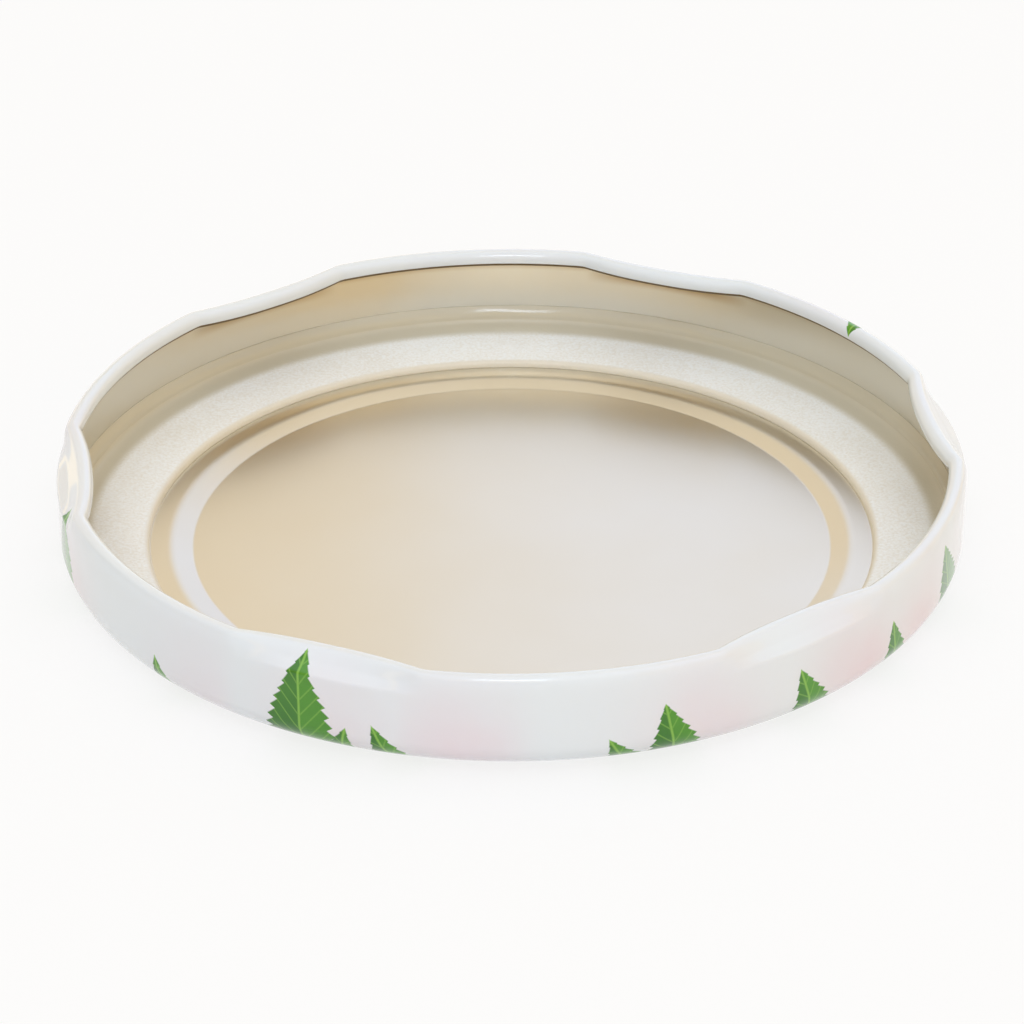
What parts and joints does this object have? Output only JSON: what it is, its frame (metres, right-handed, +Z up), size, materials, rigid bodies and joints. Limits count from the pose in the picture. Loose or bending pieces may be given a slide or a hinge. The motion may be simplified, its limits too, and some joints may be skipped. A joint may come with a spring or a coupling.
{
  "type": "twist-off jar lid",
  "caption": "Shallow round metal twist-off lid with a rolled rim pressed into lugs and a flowed-in sealing ring, for closing a wide-mouth glass jar.",
  "frame": {"origin": "middle of the outside of the flat panel, which is the face it rests on with the open side up", "axes": "+Z up out of the open side, +X to the right as the picture shows it, -Y towards the viewer"},
  "size_m": [0.0856, 0.0856, 0.0105],
  "materials": {
    "enamelled_tinplate": "white gloss enamel outside, cream lacquer inside",
    "sealing_compound": "satin"
  },
  "bodies": {
    "root": {"shell": "enamelled_tinplate", "sealing_ring": "sealing_compound"}
  },
  "joints": []
}
